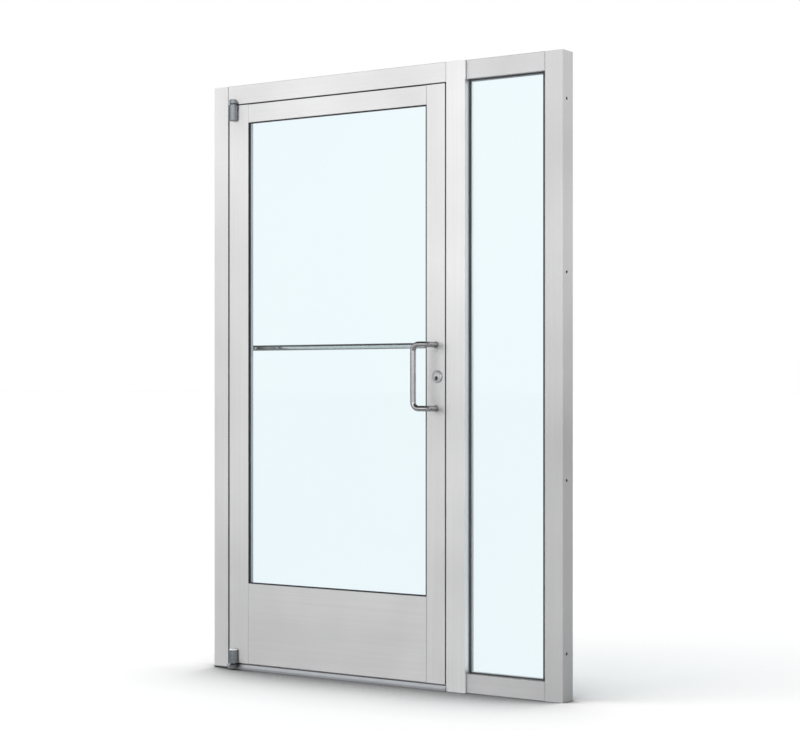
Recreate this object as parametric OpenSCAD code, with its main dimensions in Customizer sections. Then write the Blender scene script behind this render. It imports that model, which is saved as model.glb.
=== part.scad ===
// Aluminium entrance door with a narrow sidelight, hung on offset pivots in its own frame.
// Millimetres. X runs from the hinge jamb to the sidelight, Y from the outside to the inside, Z up.
// The origin is on the floor, at the middle of the door opening and of the frame's depth.

/* [Frame] */
// Height of the frame from the floor to its top
frame_h = 2032; // [1850:1:2300]
// Depth of the frame's tubes, from the outer to the inner face
frame_d = 76; // [74:0.5:110]
// Face width of the hinge jamb and of the sidelight jamb
jamb_face = 63.5; // [50:0.5:80]
// Face height of the door header
header_face = 65; // [55:0.5:90]
// Face width of the mullion between the door and the sidelight
mullion_face = 72; // [68:0.5:100]
// Clear width between the hinge jamb and the mullion
opening_w = 914; // [800:1:1070]
// Clear width between the mullion and the sidelight jamb
sidelight_w = 292; // [220:1:600]
// How far the sidelight's face lies behind the mullion's face
sidelight_setback = 11; // [5:0.5:14]
// Face height of the sidelight's head and sill
sidelight_rail_h = 61; // [50:0.5:100]
// Wall of the frame's and the leaf's tubes
tube_wall = 3; // [2.6:0.1:3.6]

/* [Leaf] */
// Thickness of the door leaf
leaf_t = 44.5; // [42:0.5:48]
// Gap between the leaf and each upright of the frame
side_gap = 5; // [4:0.1:7]
// Gap between the leaf and the header
top_gap = 4; // [3:0.1:6]
// Face width of the hinge stile
hinge_stile_w = 84.5; // [76:0.5:110]
// Face width of the lock stile
lock_stile_w = 71; // [69:0.5:100]
// Face height of the top rail
top_rail_h = 63; // [58:0.5:110]
// Face height of the bottom rail
bottom_rail_h = 279; // [200:1:320]
// Number of webs inside the bottom rail
bottom_rail_webs = 2; // [1:1:3]

/* [Glazing] */
// Thickness of the glass
glass_t = 6; // [5:0.5:8]
// How far the glass reaches into its pockets
glass_bite = 10; // [8:0.5:12]
// Depth of the glazing pockets
pocket_d = 16; // [15:0.5:20]
// Thickness of the gasket on the outer side of the glass
gasket_t = 5; // [4:0.1:6]
// Width of gasket that shows beside the metal
gasket_nose = 4; // [2:0.1:6]
// Thickness of the gasket on the inner side of the glass
inner_gasket_t = 3; // [2:0.1:4]
// Depth of the flat part of the leaf's inner beads, before the bevel
bead_flat = 13; // [8:0.5:16]

/* [Door stops] */
// How far a door stop stands into the opening
stop_w = 13; // [11:0.5:16]
// Clearance between the stops and the leaf's hinge edge as it swings past them
stop_clear = 1.2; // [0.8:0.1:3]
// Gap between the weatherstrip's pile and the leaf
pile_clear = 1.5; // [1.2:0.1:2.5]

/* [Threshold] */
// Height of the threshold
threshold_h = 17; // [13:0.5:22]
// Gap between the threshold and the leaf
threshold_gap = 5; // [4:0.1:8]
// How far the threshold stands out in front of the frame
threshold_nose = 4; // [3:0.5:20]
// Height of the threshold's upright edges
threshold_lip = 8; // [3:0.5:8]
// Number of flutes along the threshold's top
threshold_flutes = 6; // [3:1:7]
// Number of screws that hold the threshold
threshold_screw_count = 4; // [3:1:6]

/* [Pivots] */
// Distance from the hinge jamb's inner side to the pivot axis
pivot_inset = 36; // [34:0.5:42]
// Distance of the pivot axis in front of the frame's face
pivot_offset = 16; // [16:0.5:22]
// Diameter of the leaf's knuckles
knuckle_d = 30; // [26:0.5:30]
// Height of the leaf's top knuckle
top_knuckle_h = 57; // [45:1:70]
// Height of the frame's top knuckle
top_boss_h = 16.5; // [12:0.5:24]
// Height of the leaf's bottom knuckle
bottom_knuckle_h = 48; // [40:1:60]
// Diameter of the pivot pins
pivot_pin_d = 12; // [10:0.5:14]

/* [Handles] */
// Height of the lock cylinder and of the middle of the pull handle
lock_z = 1016; // [950:1:1100]
// Distance between the pull handle's two arms
pull_centres = 207; // [203:1:305]
// How far the grip stands in front of the leaf
pull_projection = 63; // [55:1:80]
// How far the grip lies beside its arms' feet
pull_offset = 45; // [45:1:60]
// Diameter of the pull handle's rod
pull_d = 19; // [16:0.5:24]
// How far the push bar stands behind the leaf
bar_projection = 57; // [50:1:75]
// Diameter of the push bar
bar_d = 19; // [16:0.5:24]
// Bend radius of both rods, at their centre
rod_bend = 21; // [18:0.5:22]

/* [Lock] */
// Distance from the leaf's edge to the lock cylinder's axis
lock_backset = 28.6; // [27:0.1:31]
// Diameter of the lock cylinder
cylinder_d = 29.4; // [28:0.1:31]
// Outer diameter of the ring round the lock cylinder
cylinder_ring_d = 38; // [35:0.5:42]
// How far the ring stands in front of the leaf
cylinder_ring_h = 6; // [5:0.5:12]
// Diameter of the key plug
plug_d = 13; // [12:0.1:14]
// Length of the swinging bolt from its pin to its tip
bolt_l = 44; // [38:0.5:46]
// Width of the swinging bolt
bolt_w = 15; // [13:0.5:16]
// Thickness of the swinging bolt
bolt_t = 12; // [10:0.5:14]

/* [Hidden] */

$fn = 48;

// Overrun of every cut past the face that it opens
overrun = 1;
// Clearance round a piece that is let into another
let_in = 0.1;
// Running clearance of pins and shafts, on the radius
running = 0.05;
// Gap between knuckles, and between a bearing face and what turns on it
bearing_gap = 0.3;

// Frame lines
opening_x0 = -opening_w / 2;
opening_x1 = opening_w / 2;
frame_x0 = opening_x0 - jamb_face;
mullion_x1 = opening_x1 + mullion_face;
side_x1 = mullion_x1 + sidelight_w;
frame_x1 = side_x1 + jamb_face;
front_y = -frame_d / 2;
back_y = frame_d / 2;
header_z = frame_h - header_face;

// Leaf lines: its outline, its sight lines and the floors of its glazing pockets
leaf_x0 = opening_x0 + side_gap;
leaf_x1 = opening_x1 - side_gap;
leaf_z0 = threshold_h + threshold_gap;
leaf_z1 = header_z - top_gap;
leaf_back_y = front_y + leaf_t;
sight_x0 = leaf_x0 + hinge_stile_w;
sight_x1 = leaf_x1 - lock_stile_w;
sight_z0 = leaf_z0 + bottom_rail_h;
sight_z1 = leaf_z1 - top_rail_h;
pocket_x0 = sight_x0 - pocket_d;
pocket_x1 = sight_x1 + pocket_d;
pocket_z0 = sight_z0 - pocket_d;
pocket_z1 = sight_z1 + pocket_d;

// Leaf glazing, from the outer lip inwards
gasket_base = 6;
gasket_lap = 2;
glass_y0 = front_y + tube_wall + gasket_t;
glass_y1 = glass_y0 + glass_t;
bead_y0 = glass_y1 + inner_gasket_t;
bead_land = 1.5;
bead_wall = 1.6;
setting_block_l = 60;
setting_block_share = 0.25;

// Sidelight lines
side_front_y = front_y + sidelight_setback;
side_z0 = sidelight_rail_h;
side_z1 = frame_h - sidelight_rail_h;
side_stop_wall = 2;

// The sidelight's pane lies a little outside the middle of the frame, between the two lips of its pocket.
// Beside the pane the jamb's outer lip slopes towards it and the inner lips are bevelled away from it.
side_glass_y = -1;
side_glass_y0 = side_glass_y - glass_t / 2;
side_glass_y1 = side_glass_y + glass_t / 2;
side_pocket_y0 = side_glass_y0 - gasket_t;
side_pocket_y1 = side_glass_y1 + inner_gasket_t;
lip_slope = 12;
lip_land = 2;
lip_bevel = pocket_d - lip_land;
lip_wall = 3.4;
side_sight_x1 = side_x1 - lip_slope;

// Chamfer along the tubes' edges, and the groove where a horizontal tube meets an upright
edge = 1;
joint_groove = 1.2;

// Clips inside the frame's corners
clip_l = 32;
clip_wall = 4;

// Anchor holes through the jambs into the wall
anchor_r = 5;
anchor_inset = 150;
anchor_mid_share = 0.16;

// Pivot axis, and how far the leaf's inner hinge edge reaches inwards as it swings round it
pivot_x = opening_x0 + pivot_inset;
pivot_y = front_y - pivot_offset;
swing_r = norm([pivot_x - leaf_x0, leaf_back_y - pivot_y]);

// Door stops
stop_y0 = pivot_y + swing_r + stop_clear;
stop_gap = stop_y0 - leaf_back_y;
stop_d = back_y - stop_y0;
stop_wall = 2;
pile_slot_u = 2;
pile_slot_w = 5;
pile_slot_d = 4;
pile_w = 3;
stop_top_z = header_z - stop_w;
// The head's pile starts where the swinging edge of the leaf no longer reaches it
pile_reach = leaf_back_y + pile_clear - pivot_y;
head_pile_x0 = pivot_x + sqrt(swing_r * swing_r - pile_reach * pile_reach) + pile_clear;

// Threshold
threshold_y0 = front_y - threshold_nose;
threshold_top_wall = 5;
threshold_mid_leg = 22;
flute_w = 3;
flute_d = 1.4;
flute_margin = 6;
screw_r = 3;
screw_head_r = 5.6;
screw_head_h = 3;
screw_below = 0.4;
// Half length, half width and depth of the cross recess in a screw's head
recess_share = 0.62;
recess_w_share = 0.17;
recess_d_share = 0.6;

// Pivots
pivot_seam_z = (header_z + leaf_z1) / 2;
knuckle_r = knuckle_d / 2;
knuckle_chamfer = 1.5;
boss_step = 1.2;
boss_r = knuckle_r - boss_step;
boss_neck = 3.5;
dimple_r = 4.5;
dimple_d = 2;
pin_r = pivot_pin_d / 2;
pin_end_gap = 1;
pin_floor = 8;
arm_w = 22;
arm_t = 10;
bracket_t = 6;
bracket_l = 84;
bracket_d = 34;
bracket_inset = 12;
pivot_block_t = 13;
bracket_screw_shares = [0.62, 0.86];
base_l = 57;
base_d = 34;
base_screw_shares = [0.35, 0.75];
base_lift = 1;
base_rise = threshold_lip + base_lift;
washer_r = 10;

// Pull handle, push bar and the studs that hold them
pull_r = pull_d / 2;
bar_r = bar_d / 2;
pull_x = leaf_x1 - lock_stile_w / 2;
pull_y = front_y - pull_projection;
pull_top_z = lock_z + pull_centres / 2;
bar_x0 = (leaf_x0 + pocket_x0) / 2;
bar_y = leaf_back_y + bar_projection;
stud_r = 4;
stud_grip = 18;
stud_head_r = 8;
stud_head_t = 4;

// Lock, in the middle of the leaf's thickness
lock_y = front_y + leaf_t / 2;
lock_x = leaf_x1 - lock_backset;
cylinder_r = cylinder_d / 2;
cylinder_gap = 7;
cylinder_front_y = front_y - cylinder_ring_h;
cylinder_back_y = lock_y - cylinder_gap / 2;
cylinder_bevel = 2;
ring_r = cylinder_ring_d / 2;
ring_taper = 2;
plug_r = plug_d / 2;
plug_drop = 5.5;
plug_proud = 0.8;
plug_z = lock_z - plug_drop;
keyway_w = 2.8;
keyway_h = 9;
keyway_d = 14;
turn_front_y = lock_y + cylinder_gap / 2;
turn_flange_r = 18;
turn_flange_t = 4;
turn_shaft_r = 5;
turn_l = 30;
turn_h = 16;
turn_t = 7;
bolt_inset = 10.5;
bolt_x = leaf_x1 - bolt_inset;
bolt_cylinder_gap = 3;
bolt_rise = cylinder_r + bolt_w / 2 + bolt_cylinder_gap;
bolt_z = lock_z + bolt_rise;
bolt_chamfer = 3;
bolt_pin_r = 3;
slot_clear = 1;
slot_t = bolt_t + 2 * slot_clear;
slot_z0 = bolt_z - bolt_w / 2 - slot_clear;
slot_z1 = bolt_z + bolt_l + slot_clear;
case_t = 26;
case_wall = 2;
case_x0 = lock_x - cylinder_r - case_wall;
case_x1 = leaf_x1 - tube_wall;
case_z0 = lock_z - cylinder_r - 2 * case_wall;
case_z1 = slot_z1 + 2 * case_wall;
lug_l = 16;
lug_t = 6;
faceplate_z0 = case_z0 - lug_l;
faceplate_z1 = case_z1 + lug_l;
faceplate_w = 25;
small_screw_r = 2;
small_head_r = 3.8;
small_head_h = 2;
strike_w = 30;
strike_margin = 24;
strike_z0 = slot_z0 - strike_margin;
strike_z1 = slot_z1 + strike_margin;
backer_t = 4;
backer_lap = 12;

// Tie rods through the rails
tie_r = 4.75;
tie_end = 12;
tie_nut_r = 9;
tie_nut_t = 7;
tie_washer_t = 1.5;
tie_y = lock_y;
rail_room = (pocket_z0 - leaf_z0 - (bottom_rail_webs + 2) * tube_wall) / (bottom_rail_webs + 1);
tie_edge = tube_wall + rail_room / 2;
tie_zs = [(pocket_z1 + leaf_z1) / 2, leaf_z0 + tie_edge, pocket_z0 - tie_edge];

metal = "silver";
steel = "slategray";
rubber = "black";
clear_glass = "lightcyan";
// Opacity of the glass
glass_share = 0.4;

// Basic shapes, given by their limits

module rect(x0, x1, y0, y1) {
    translate([x0, y0]) square([x1 - x0, y1 - y0]);
}

// The same with its corners cut
module soft_rect(x0, x1, y0, y1) {
    polygon([
        [x0 + edge, y0], [x1 - edge, y0], [x1, y0 + edge], [x1, y1 - edge],
        [x1 - edge, y1], [x0 + edge, y1], [x0, y1 - edge], [x0, y0 + edge]
    ]);
}

module block(x0, x1, y0, y1, z0, z1) {
    translate([x0, y0, z0]) cube([x1 - x0, y1 - y0, z1 - z0]);
}

module along_x(x0, x1) {
    translate([x0, 0, 0]) rotate([90, 0, 90]) linear_extrude(height = x1 - x0) children();
}

module along_y(y0, y1) {
    translate([0, y1, 0]) rotate([90, 0, 0]) linear_extrude(height = y1 - y0) children();
}

module along_z(z0, z1) {
    translate([0, 0, z0]) linear_extrude(height = z1 - z0) children();
}

module rod_x(r, x0, x1, y, z) {
    translate([x0, y, z]) rotate([0, 90, 0]) cylinder(r = r, h = x1 - x0);
}

module rod_y(r, y0, y1, x, z) {
    translate([x, y0, z]) rotate([-90, 0, 0]) cylinder(r = r, h = y1 - y0);
}

module rod_z(r, z0, z1, x, y) {
    translate([x, y, z0]) cylinder(r = r, h = z1 - z0);
}

// A flat ring of width w inside the given limits
module ring_2d(x0, x1, z0, z1, w) {
    difference() {
        rect(x0, x1, z0, z1);
        rect(x0 + w, x1 - w, z0 + w, z1 - w);
    }
}

// A quarter bend of a rod, from the X axis towards the Y axis
module bend(r) {
    rotate_extrude(angle = 90) translate([rod_bend, 0]) circle(r = r);
}

// A countersunk screw along -Z with its head's top at the origin, grown by c for its hole
module countersunk(r, head_r, head_h, l, c) {
    translate([0, 0, -l]) cylinder(r = r + c, h = l);
    translate([0, 0, -head_h]) cylinder(r1 = r + c, r2 = head_r + c, h = head_h);
}

// The screw itself, with a cross recess in its head
module screw(r, head_r, head_h, l) {
    half = recess_share * head_r;
    half_w = recess_w_share * head_r;
    difference() {
        countersunk(r, head_r, head_h, l, 0);
        for (turn = [0, 90]) rotate([0, 0, turn])
            block(-half, half, -half_w, half_w, -recess_d_share * head_h, overrun);
    }
}

// Grooves across the outer face of a horizontal tube, at its two ends
module end_grooves(x0, x1, y0, z0, z1) {
    y1 = y0 + joint_groove;
    block(x0 - overrun, x0 + joint_groove, y0 - overrun, y1, z0 - overrun, z1 + overrun);
    block(x1 - joint_groove, x1 + overrun, y0 - overrun, y1, z0 - overrun, z1 + overrun);
}

// Frame sections

module tube_2d(x0, x1, y0, y1) {
    difference() {
        soft_rect(x0, x1, y0, y1);
        rect(x0 + tube_wall, x1 - tube_wall, y0 + tube_wall, y1 - tube_wall);
    }
}

// An upright tube with a glazing pocket in its +X side: u runs from its outer side to the pocket
module pocket_tube_2d(face_w, y0) {
    floor_u = face_w - pocket_d;
    room_u = floor_u - tube_wall - overrun;
    difference() {
        soft_rect(0, face_w, y0, back_y);
        rect(floor_u, face_w + overrun, side_pocket_y0, side_pocket_y1);
        rect(tube_wall, floor_u - tube_wall, y0 + tube_wall, back_y - tube_wall);
        rect(room_u, face_w - tube_wall, y0 + tube_wall, side_pocket_y0 - tube_wall);
        polygon([
            [room_u, side_pocket_y1 + tube_wall], [face_w - lip_wall, side_pocket_y1 + tube_wall],
            [face_w - lip_wall - lip_bevel, back_y - tube_wall], [room_u, back_y - tube_wall]
        ]);
    }
}

// What the bevel takes off such a tube's inner lip
module lip_bevel_2d(face_w) {
    land_y = side_pocket_y1 + lip_land;
    polygon([
        [face_w, land_y], [face_w + overrun, land_y], [face_w + overrun, back_y + overrun],
        [face_w - lip_bevel, back_y + overrun], [face_w - lip_bevel, back_y]
    ]);
}

// The slope on such a tube's outer lip
module lip_slope_2d(face_w, y0) {
    polygon([
        [face_w - edge, y0 + edge], [face_w, y0 + edge], [face_w + lip_slope, side_pocket_y0],
        [face_w - edge, side_pocket_y0]
    ]);
}

// A horizontal tube of the sidelight, with an outer lip and room for an inner stop above it
module side_rail_2d() {
    floor_v = sidelight_rail_h - pocket_d;
    difference() {
        soft_rect(side_front_y, back_y, 0, sidelight_rail_h);
        rect(side_pocket_y0, back_y + overrun, floor_v, sidelight_rail_h + overrun);
        rect(side_front_y + tube_wall, back_y - tube_wall, tube_wall, floor_v - tube_wall);
        rect(side_front_y + tube_wall, side_pocket_y0 - tube_wall,
            floor_v - tube_wall - overrun, sidelight_rail_h - tube_wall);
    }
}

// The sidelight's inner stop, open towards the tube
module side_stop_2d() {
    floor_v = sidelight_rail_h - pocket_d;
    difference() {
        rect(side_pocket_y1, back_y, floor_v, sidelight_rail_h);
        rect(side_pocket_y1 + side_stop_wall, back_y - side_stop_wall,
            floor_v - overrun, sidelight_rail_h - side_stop_wall);
    }
}

// A door stop against an upright: u from the upright's side, v from the leaf's side inwards
module stop_2d() {
    difference() {
        soft_rect(0, stop_w, 0, stop_d);
        rect(pile_slot_u, pile_slot_u + pile_slot_w, -overrun, pile_slot_d);
        rect(-overrun, stop_w - stop_wall, pile_slot_d + stop_wall, stop_d - stop_wall);
    }
}

// The weatherstrip in a stop: its base in the slot and its pile towards the leaf
module pile_2d() {
    mid_u = pile_slot_u + pile_slot_w / 2;
    rect(pile_slot_u + let_in, pile_slot_u + pile_slot_w - let_in, 0, pile_slot_d - let_in);
    rect(mid_u - pile_w / 2, mid_u + pile_w / 2, pile_clear - stop_gap, 0);
}

module anchor_holes(x0, x1, y) {
    mid = anchor_mid_share * frame_h;
    for (z = [anchor_inset, frame_h / 2 - mid, frame_h / 2 + mid, frame_h - anchor_inset])
        rod_x(anchor_r, x0, x1, y, z);
}

// Frame pieces

module hinge_jamb() {
    color(metal) difference() {
        along_z(0, frame_h) tube_2d(frame_x0, opening_x0, front_y, back_y);
        anchor_holes(frame_x0 - overrun, opening_x0 + overrun, stop_y0 + stop_d / 2);
    }
}

// The top bracket's plate behind the header's outer wall and its tongue through it, grown by c
module bracket_outline(c) {
    plate_y0 = front_y + tube_wall;
    rect(opening_x0 + bracket_inset - c, opening_x0 + bracket_inset + bracket_l + c,
        plate_y0, plate_y0 + bracket_d + c);
    rect(pivot_x - arm_w / 2 - c, pivot_x + arm_w / 2 + c, pivot_y, plate_y0 + c);
}

module door_header() {
    color(metal) difference() {
        along_x(opening_x0, opening_x1) tube_2d(front_y, back_y, header_z, frame_h);
        along_z(header_z - overrun, header_z + bracket_t + let_in) bracket_outline(let_in);
        end_grooves(opening_x0, opening_x1, front_y, header_z, frame_h);
    }
}

module mullion() {
    color(metal) difference() {
        along_z(0, frame_h) translate([opening_x1, 0]) pocket_tube_2d(mullion_face, front_y);
        along_z(side_z0, side_z1) translate([opening_x1, 0]) lip_bevel_2d(mullion_face);
        block(opening_x1 - overrun, opening_x1 + tube_wall + overrun,
            lock_y - strike_w / 2 - let_in, lock_y + strike_w / 2 + let_in,
            strike_z0 - let_in, strike_z1 + let_in);
    }
}

module sidelight_jamb() {
    color(metal) difference() {
        translate([frame_x1, 0, 0]) mirror([1, 0, 0]) {
            along_z(0, frame_h) pocket_tube_2d(jamb_face, side_front_y);
            along_z(side_z0, side_z1) lip_slope_2d(jamb_face, side_front_y);
        }
        translate([frame_x1, 0, 0]) mirror([1, 0, 0]) along_z(side_z0, side_z1) lip_bevel_2d(jamb_face);
        anchor_holes(side_x1 - overrun, frame_x1 + overrun, side_glass_y);
    }
}

module sidelight_sill() {
    color(metal) difference() {
        along_x(mullion_x1, side_x1) side_rail_2d();
        end_grooves(mullion_x1, side_x1, side_front_y, 0, side_z0);
    }
}

module sidelight_head() {
    color(metal) difference() {
        along_x(mullion_x1, side_x1) translate([0, frame_h]) mirror([0, 1]) side_rail_2d();
        end_grooves(mullion_x1, side_x1, side_front_y, side_z1, frame_h);
    }
}

module sidelight_sill_stop() {
    color(metal) along_x(mullion_x1, side_x1) side_stop_2d();
}

module sidelight_head_stop() {
    color(metal) along_x(mullion_x1, side_x1) translate([0, frame_h]) mirror([0, 1]) side_stop_2d();
}

// A channel that stiffens the end of a horizontal tube and screws to the upright
module clip(x0, x1, y0, y1, z0, z1) {
    difference() {
        block(x0, x1, y0, y1, z0, z1);
        block(x0 + clip_wall, x1 + overrun, y0 + clip_wall, y1 - clip_wall, z0 + clip_wall, z1 + overrun);
    }
}

module corner_clips() {
    tube_y0 = side_front_y + tube_wall + let_in;
    tube_y1 = back_y - tube_wall - let_in;
    sill_z0 = tube_wall + let_in;
    sill_z1 = sidelight_rail_h - pocket_d - tube_wall - let_in;
    color(metal) {
        translate([opening_x1, 0, 0]) mirror([1, 0, 0])
            clip(0, clip_l, front_y + tube_wall + let_in, tube_y1,
                header_z + tube_wall + let_in, frame_h - tube_wall - let_in);
        for (top = [0, 1]) translate([0, 0, top * frame_h]) mirror([0, 0, top]) {
            translate([mullion_x1, 0, 0]) clip(0, clip_l, tube_y0, tube_y1, sill_z0, sill_z1);
            translate([side_x1, 0, 0]) mirror([1, 0, 0]) clip(0, clip_l, tube_y0, tube_y1, sill_z0,
                sill_z1);
        }
    }
}

module sidelight_glass() {
    color(clear_glass, glass_share) block(mullion_x1 - glass_bite, side_x1 + glass_bite,
        side_glass_y0, side_glass_y1, side_z0 - glass_bite, side_z1 + glass_bite);
}

// The gasket between the pane and the outer lips, and round the lips' edges
module sidelight_outer_gasket() {
    color(rubber) {
        along_y(side_pocket_y0, side_glass_y0)
            ring_2d(mullion_x1 - gasket_base, side_sight_x1 + gasket_base, side_z0 - gasket_base,
                side_z1 + gasket_base, gasket_base + gasket_nose);
        along_y(side_pocket_y0 - gasket_lap, side_pocket_y0)
            ring_2d(mullion_x1, side_sight_x1, side_z0, side_z1, gasket_nose);
    }
}

module sidelight_inner_gasket() {
    color(rubber) along_y(side_glass_y1, side_pocket_y1)
        ring_2d(mullion_x1 - gasket_base, side_x1 + gasket_base, side_z0 - gasket_base,
            side_z1 + gasket_base, gasket_base);
}

// Two blocks under a pane, between the pocket's floor and the glass
module setting_pair(x0, x1, y0, y1, floor_z, glass_z) {
    for (share = [setting_block_share, 1 - setting_block_share])
        translate([x0 + share * (x1 - x0), 0, 0])
            block(-setting_block_l / 2, setting_block_l / 2, y0, y1, floor_z, glass_z);
}

module sidelight_setting_blocks() {
    color(rubber) setting_pair(mullion_x1, side_x1, side_glass_y0, side_glass_y1,
        side_z0 - pocket_d, side_z0 - glass_bite);
}

module hinge_door_stop() {
    color(metal) along_z(threshold_h, stop_top_z) translate([opening_x0, stop_y0]) stop_2d();
}

module strike_door_stop() {
    color(metal) along_z(threshold_h, stop_top_z) translate([opening_x1, stop_y0]) mirror([1, 0]) stop_2d();
}

module head_door_stop() {
    color(metal) along_x(opening_x0, opening_x1) translate([stop_y0, header_z]) rotate(-90) stop_2d();
}

module hinge_weatherstrip() {
    color(rubber) along_z(threshold_h, stop_top_z) translate([opening_x0, stop_y0]) pile_2d();
}

module strike_weatherstrip() {
    color(rubber) along_z(threshold_h, stop_top_z) translate([opening_x1, stop_y0]) mirror([1,
        0]) pile_2d();
}

module head_weatherstrip() {
    color(rubber) along_x(head_pile_x0, opening_x1) translate([stop_y0, header_z]) rotate(-90) pile_2d();
}

// Threshold

function threshold_screw_x(i) = opening_x0 + (2 * i + 1) * opening_w / (2 * threshold_screw_count);

module threshold_2d() {
    slope_y = back_y - threshold_nose;
    room_h = threshold_h - threshold_top_wall;
    flute_pitch = (slope_y - front_y - 2 * flute_margin) / (threshold_flutes - 1);
    difference() {
        polygon([
            [threshold_y0, 0], [threshold_y0, threshold_lip], [front_y, threshold_h],
            [slope_y, threshold_h], [back_y, threshold_lip], [back_y, 0]
        ]);
        rect(front_y, -threshold_mid_leg / 2, -overrun, room_h);
        rect(threshold_mid_leg / 2, slope_y, -overrun, room_h);
        for (i = [0 : threshold_flutes - 1])
            translate([front_y + flute_margin + i * flute_pitch, threshold_h])
                rect(-flute_w / 2, flute_w / 2, -flute_d, overrun);
    }
}

module base_outline(c) {
    rect(opening_x0 - c, opening_x0 + base_l + c, front_y - c, front_y + base_d + c);
}

module threshold() {
    color(metal) difference() {
        along_x(opening_x0, opening_x1) threshold_2d();
        along_z(-overrun, threshold_h + overrun) base_outline(let_in);
        block(pivot_x - arm_w / 2 - let_in, pivot_x + arm_w / 2 + let_in,
            threshold_y0 - overrun, front_y, base_rise - let_in, threshold_h + overrun);
        rod_z(boss_r + let_in, base_rise - let_in, threshold_h + overrun, pivot_x, pivot_y);
        for (i = [0 : threshold_screw_count - 1])
            translate([threshold_screw_x(i), 0, threshold_h - flute_d - screw_below]) {
                countersunk(screw_r, screw_head_r, screw_head_h, threshold_h + overrun, let_in);
                cylinder(r = screw_head_r + let_in, h = threshold_h);
            }
    }
}

module threshold_screws() {
    color(steel) for (i = [0 : threshold_screw_count - 1])
        translate([threshold_screw_x(i), 0, threshold_h - flute_d - screw_below])
            screw(screw_r, screw_head_r, screw_head_h, threshold_h - flute_d - screw_below);
}

// Pivots

bracket_screw_xs = [for (share = bracket_screw_shares) opening_x0 + bracket_inset + share * bracket_l];
bracket_screw_y = front_y + tube_wall + bracket_d / 2;
base_screw_x = opening_x0 + base_l / 2;
base_screw_ys = [for (share = base_screw_shares) front_y + share * base_d];

// A round knuckle on the pivot axis, chamfered at both ends
module knuckle(r, z0, z1) {
    c = knuckle_chamfer;
    translate([pivot_x, pivot_y, z0]) cylinder(r1 = r - c, r2 = r, h = c);
    rod_z(r, z0 + c, z1 - c, pivot_x, pivot_y);
    translate([pivot_x, pivot_y, z1 - c]) cylinder(r1 = r, r2 = r - c, h = c);
}

module top_pivot_bracket() {
    color(steel) difference() {
        union() {
            along_z(header_z, header_z + bracket_t) bracket_outline(0);
            rod_z(boss_r - boss_neck, pivot_seam_z + bearing_gap / 2, header_z + overrun, pivot_x, pivot_y);
            knuckle(boss_r, header_z, pivot_seam_z + top_boss_h);
        }
        rod_z(pin_r + running, pivot_seam_z - overrun, pivot_seam_z + top_boss_h + overrun,
            pivot_x, pivot_y);
        for (x = bracket_screw_xs) translate([x, bracket_screw_y, header_z]) rotate([180, 0, 0])
            countersunk(small_screw_r, small_head_r, small_head_h, bracket_t + overrun, let_in);
    }
}

module header_pivot_block() {
    z0 = header_z + tube_wall;
    color(metal) difference() {
        block(opening_x0, opening_x0 + 2 * bracket_inset + bracket_l, front_y + tube_wall + let_in,
            back_y - tube_wall - let_in, z0, z0 + pivot_block_t);
        along_z(z0 - overrun, header_z + bracket_t) bracket_outline(let_in);
        for (x = bracket_screw_xs)
            rod_z(small_screw_r + let_in, z0, z0 + pivot_block_t + overrun, x, bracket_screw_y);
    }
}

module top_pivot_pin() {
    color(steel) rod_z(pin_r, pivot_seam_z - top_knuckle_h + pin_floor + pin_end_gap,
        pivot_seam_z + top_boss_h, pivot_x, pivot_y);
}

module bottom_pivot_base() {
    color(steel) difference() {
        union() {
            along_z(0, threshold_h) base_outline(0);
            block(pivot_x - arm_w / 2, pivot_x + arm_w / 2, pivot_y, front_y, base_rise, threshold_h);
            knuckle(boss_r, base_rise, threshold_h);
        }
        rod_z(pin_r + running, base_rise - overrun, threshold_h + overrun, pivot_x, pivot_y);
        for (y = base_screw_ys) translate([base_screw_x, y, threshold_h])
            countersunk(screw_r, screw_head_r, screw_head_h, threshold_h + overrun, let_in);
    }
}

module bottom_pivot_pin() {
    color(steel) rod_z(pin_r, base_rise, leaf_z0 + bottom_knuckle_h - pin_floor - pin_end_gap,
        pivot_x, pivot_y);
}

module thrust_washer() {
    color(rubber) difference() {
        rod_z(washer_r, threshold_h, leaf_z0 - bearing_gap, pivot_x, pivot_y);
        rod_z(pin_r + running, threshold_h - overrun, leaf_z0 + overrun, pivot_x, pivot_y);
    }
}

module pivot_screws() {
    color(steel) {
        for (x = bracket_screw_xs) translate([x, bracket_screw_y, header_z]) rotate([180, 0, 0])
            screw(small_screw_r, small_head_r, small_head_h, tube_wall + pivot_block_t);
        for (y = base_screw_ys) translate([base_screw_x, y, threshold_h])
            screw(screw_r, screw_head_r, screw_head_h, threshold_h);
    }
}

// The part of a pivot arm inside the stile, and its tongue to the knuckle
module pivot_arm_plate(z0, z1) {
    block(leaf_x0 + tube_wall + let_in, pocket_x0 - tube_wall - let_in,
        front_y + tube_wall + let_in, leaf_back_y - tube_wall - let_in, z0, z1);
    block(pivot_x - arm_w / 2, pivot_x + arm_w / 2, pivot_y, front_y + tube_wall + overrun, z0, z1);
}

module top_pivot_arm() {
    color(steel) difference() {
        union() {
            pivot_arm_plate(leaf_z1 - arm_t, leaf_z1);
            knuckle(knuckle_r, pivot_seam_z - top_knuckle_h, pivot_seam_z - bearing_gap / 2);
        }
        rod_z(pin_r + running, pivot_seam_z - top_knuckle_h + pin_floor, pivot_seam_z + overrun,
            pivot_x, pivot_y);
    }
}

module bottom_pivot_arm() {
    z1 = leaf_z0 + bottom_knuckle_h;
    color(steel) difference() {
        union() {
            pivot_arm_plate(leaf_z0, leaf_z0 + arm_t);
            knuckle(knuckle_r, leaf_z0, z1);
        }
        rod_z(pin_r + running, leaf_z0 - overrun, z1 - pin_floor, pivot_x, pivot_y);
        rod_z(dimple_r, z1 - dimple_d, z1 + overrun, pivot_x, pivot_y);
    }
}

// Leaf

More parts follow.
